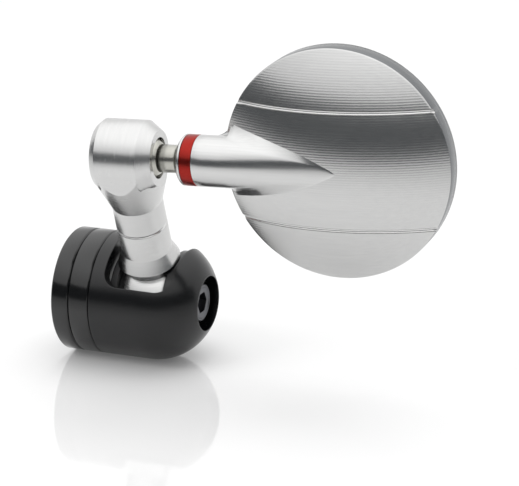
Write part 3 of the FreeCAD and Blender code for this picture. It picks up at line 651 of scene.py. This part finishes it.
# %% Table
def seen_rays(owner, unseen, seen):
    """One value for what the camera sees, straight or in a reflection, and another for the light itself."""
    rays = node(owner, "ShaderNodeLightPath").outputs
    direct = node(owner, "ShaderNodeMath", wires={0: rays["Is Camera Ray"], 1: rays["Is Glossy Ray"]},
                  operation="MAXIMUM")
    either = node(owner, "ShaderNodeMath", wires={0: direct.outputs[0], 1: rays["Is Transmission Ray"]},
                  operation="MAXIMUM")
    return node(owner, "ShaderNodeMapRange", {"To Min": unseen, "To Max": seen}, {"Value": either.outputs[0]})


FLOOR, TABLE_Y, TABLE_SIZE, TABLE_GLOW = -16.05 * MM, 1.05, (5, 2.7, 1), 0.1
bpy.ops.object.select_all(action="DESELECT")
bpy.ops.mesh.primitive_plane_add(size=1, location=(0, TABLE_Y, FLOOR))
table = bpy.context.object
table.name = "table"
table.scale = TABLE_SIZE
bpy.ops.object.transform_apply(location=True, rotation=True, scale=True)
table_top, shader = new_finish("white_acrylic_sheet", IOR=1.49)
grain(table_top, shader, ("#F2F2F2", "#F5F5F5"), grain_mm=40, roughness=(0.05, 0.07), bump_um=0.0)
shader.inputs["Emission Color"].default_value = linear("#FFFFFF")
glow = seen_rays(table_top, 0.0, TABLE_GLOW)
table_top.node_tree.links.new(glow.outputs["Result"], shader.inputs["Emission Strength"])
table.data.materials.append(table_top)
print("table at", round(FLOOR / MM, 2), "mm")

# %% [markdown]
# Beyond the table's edge the studio is dark up to a low height. That dark strip is what polished metal shows
# as a band, and without it the part looks like chalk. A curved screen of grey cloth in front stands for it:
# an open cylinder, cut off behind the part. The camera doesn't see the screen, and it casts no shadow.

# %% Dark screen
SCREEN_R, SCREEN_LOW, SCREEN_HIGH, SCREEN_BACK = 1.2, -0.5, 0.42, 0.25
bpy.ops.object.select_all(action="DESELECT")
bpy.ops.mesh.primitive_cylinder_add(vertices=64, radius=SCREEN_R, depth=SCREEN_HIGH - SCREEN_LOW,
                                    end_fill_type="NOTHING", location=(0, 0, (SCREEN_LOW + SCREEN_HIGH) / 2))
screen = bpy.context.object
screen.name = "dark_screen"
bpy.ops.object.mode_set(mode="EDIT")
bpy.ops.mesh.select_all(action="SELECT")
bpy.ops.mesh.bisect(plane_co=(0, SCREEN_BACK, 0), plane_no=(0, 1, 0), clear_outer=True)
bpy.ops.object.mode_set(mode="OBJECT")
bpy.ops.object.transform_apply(location=True, rotation=True, scale=True)
dark_cloth, shader = new_finish("grey_studio_cloth", IOR=1.45)
grain(dark_cloth, shader, ("#606366", "#686B6E"), grain_mm=5, roughness=(0.9, 1.0), bump_um=0.0)
screen.data.materials.append(dark_cloth)
screen.visible_camera = screen.visible_shadow = screen.visible_diffuse = False
print("screen up to", SCREEN_HIGH, "m")

# %% [markdown]
# The world is white for the camera and in reflections, and dimmer as a light, so that the part isn't washed
# out. It grows brighter towards the zenith, as under a large soft box, which gives the metal its bright tops.

# %% World
AMBIENT, ZENITH, RISE_START, RISE_END = 0.45, 1.6, 0.35, 0.9
world = bpy.data.worlds.new("studio")
bpy.context.scene.world = world
world.use_nodes = True
background = world.node_tree.nodes["Background"]
level = seen_rays(world, AMBIENT, 1.0)
direction = node(world, "ShaderNodeTexCoord")
parts = node(world, "ShaderNodeSeparateXYZ", wires={0: direction.outputs["Generated"]})
rise = node(world, "ShaderNodeMapRange", {"From Min": RISE_START, "From Max": RISE_END, "To Min": 1.0,
                                          "To Max": ZENITH},
            {"Value": parts.outputs["Z"]}, interpolation_type="SMOOTHSTEP")
light = node(world, "ShaderNodeMath", wires={0: level.outputs["Result"], 1: rise.outputs["Result"]},
             operation="MULTIPLY")
world.node_tree.links.new(light.outputs[0], background.inputs["Strength"])
background.inputs["Color"].default_value = linear("#FFFFFF")
print("world:", AMBIENT, "as light, 1.0 as seen, up to", ZENITH, "at the zenith")

# %% [markdown]
# Two soft boxes light the part: a large one above and behind, which gives the soft shadow, and one to the
# front left, which fills the faces that look at the camera.

# %% Soft boxes
def soft_box(name, place, target, size, power):
    """A square area lamp that looks at a point."""
    lamp = bpy.data.lights.new(name, "AREA")
    lamp.size, lamp.energy = size, power
    box = bpy.data.objects.new(name, lamp)
    bpy.context.scene.collection.objects.link(box)
    box.location = place
    box.rotation_mode = "QUATERNION"
    box.rotation_quaternion = (Vector(target) - Vector(place)).to_track_quat("-Z", "Y")
    return box


PART_MIDDLE = (0.04, 0, 0.02)
top_box = soft_box("top_box", (0.1, 0.15, 0.95), PART_MIDDLE, size=0.9, power=4.2)
front_box = soft_box("front_box", (-0.55, -0.6, 0.65), PART_MIDDLE, size=0.5, power=2.5)
top_box.visible_glossy = front_box.visible_glossy = False
print("lamps:", [lamp.name for lamp in bpy.data.lights])

# %% [markdown]
# The camera stands about 0.6 m away with a long lens, so the part shows little perspective. Its three axes
# are written out, because that says exactly how it is turned: to the right, up, and back to the lens.

# %% Camera
CAMERA_PLACE, FOCAL_PIXELS, IMAGE_WIDTH, SENSOR_WIDTH = (0.2645, -0.5374, 0.1927), 2400, 519, 36
camera = bpy.data.objects.new("camera", bpy.data.cameras.new("camera"))
bpy.context.scene.collection.objects.link(camera)
azimuth, elevation = math.radians(21.65), math.radians(16.84)
back = Vector((math.sin(azimuth) * math.cos(elevation), -math.cos(azimuth) * math.cos(elevation),
               math.sin(elevation)))
right = Vector((math.cos(azimuth), math.sin(azimuth), 0))
axes = Matrix((right, back.cross(right), back)).transposed()
camera.matrix_world = Matrix.Translation(CAMERA_PLACE) @ axes.to_4x4()
camera.data.sensor_width = SENSOR_WIDTH
camera.data.lens = FOCAL_PIXELS * SENSOR_WIDTH / IMAGE_WIDTH
bpy.context.scene.camera = camera
bpy.context.scene.view_settings.view_transform = "Standard"
print("lens:", round(camera.data.lens, 1), "mm")
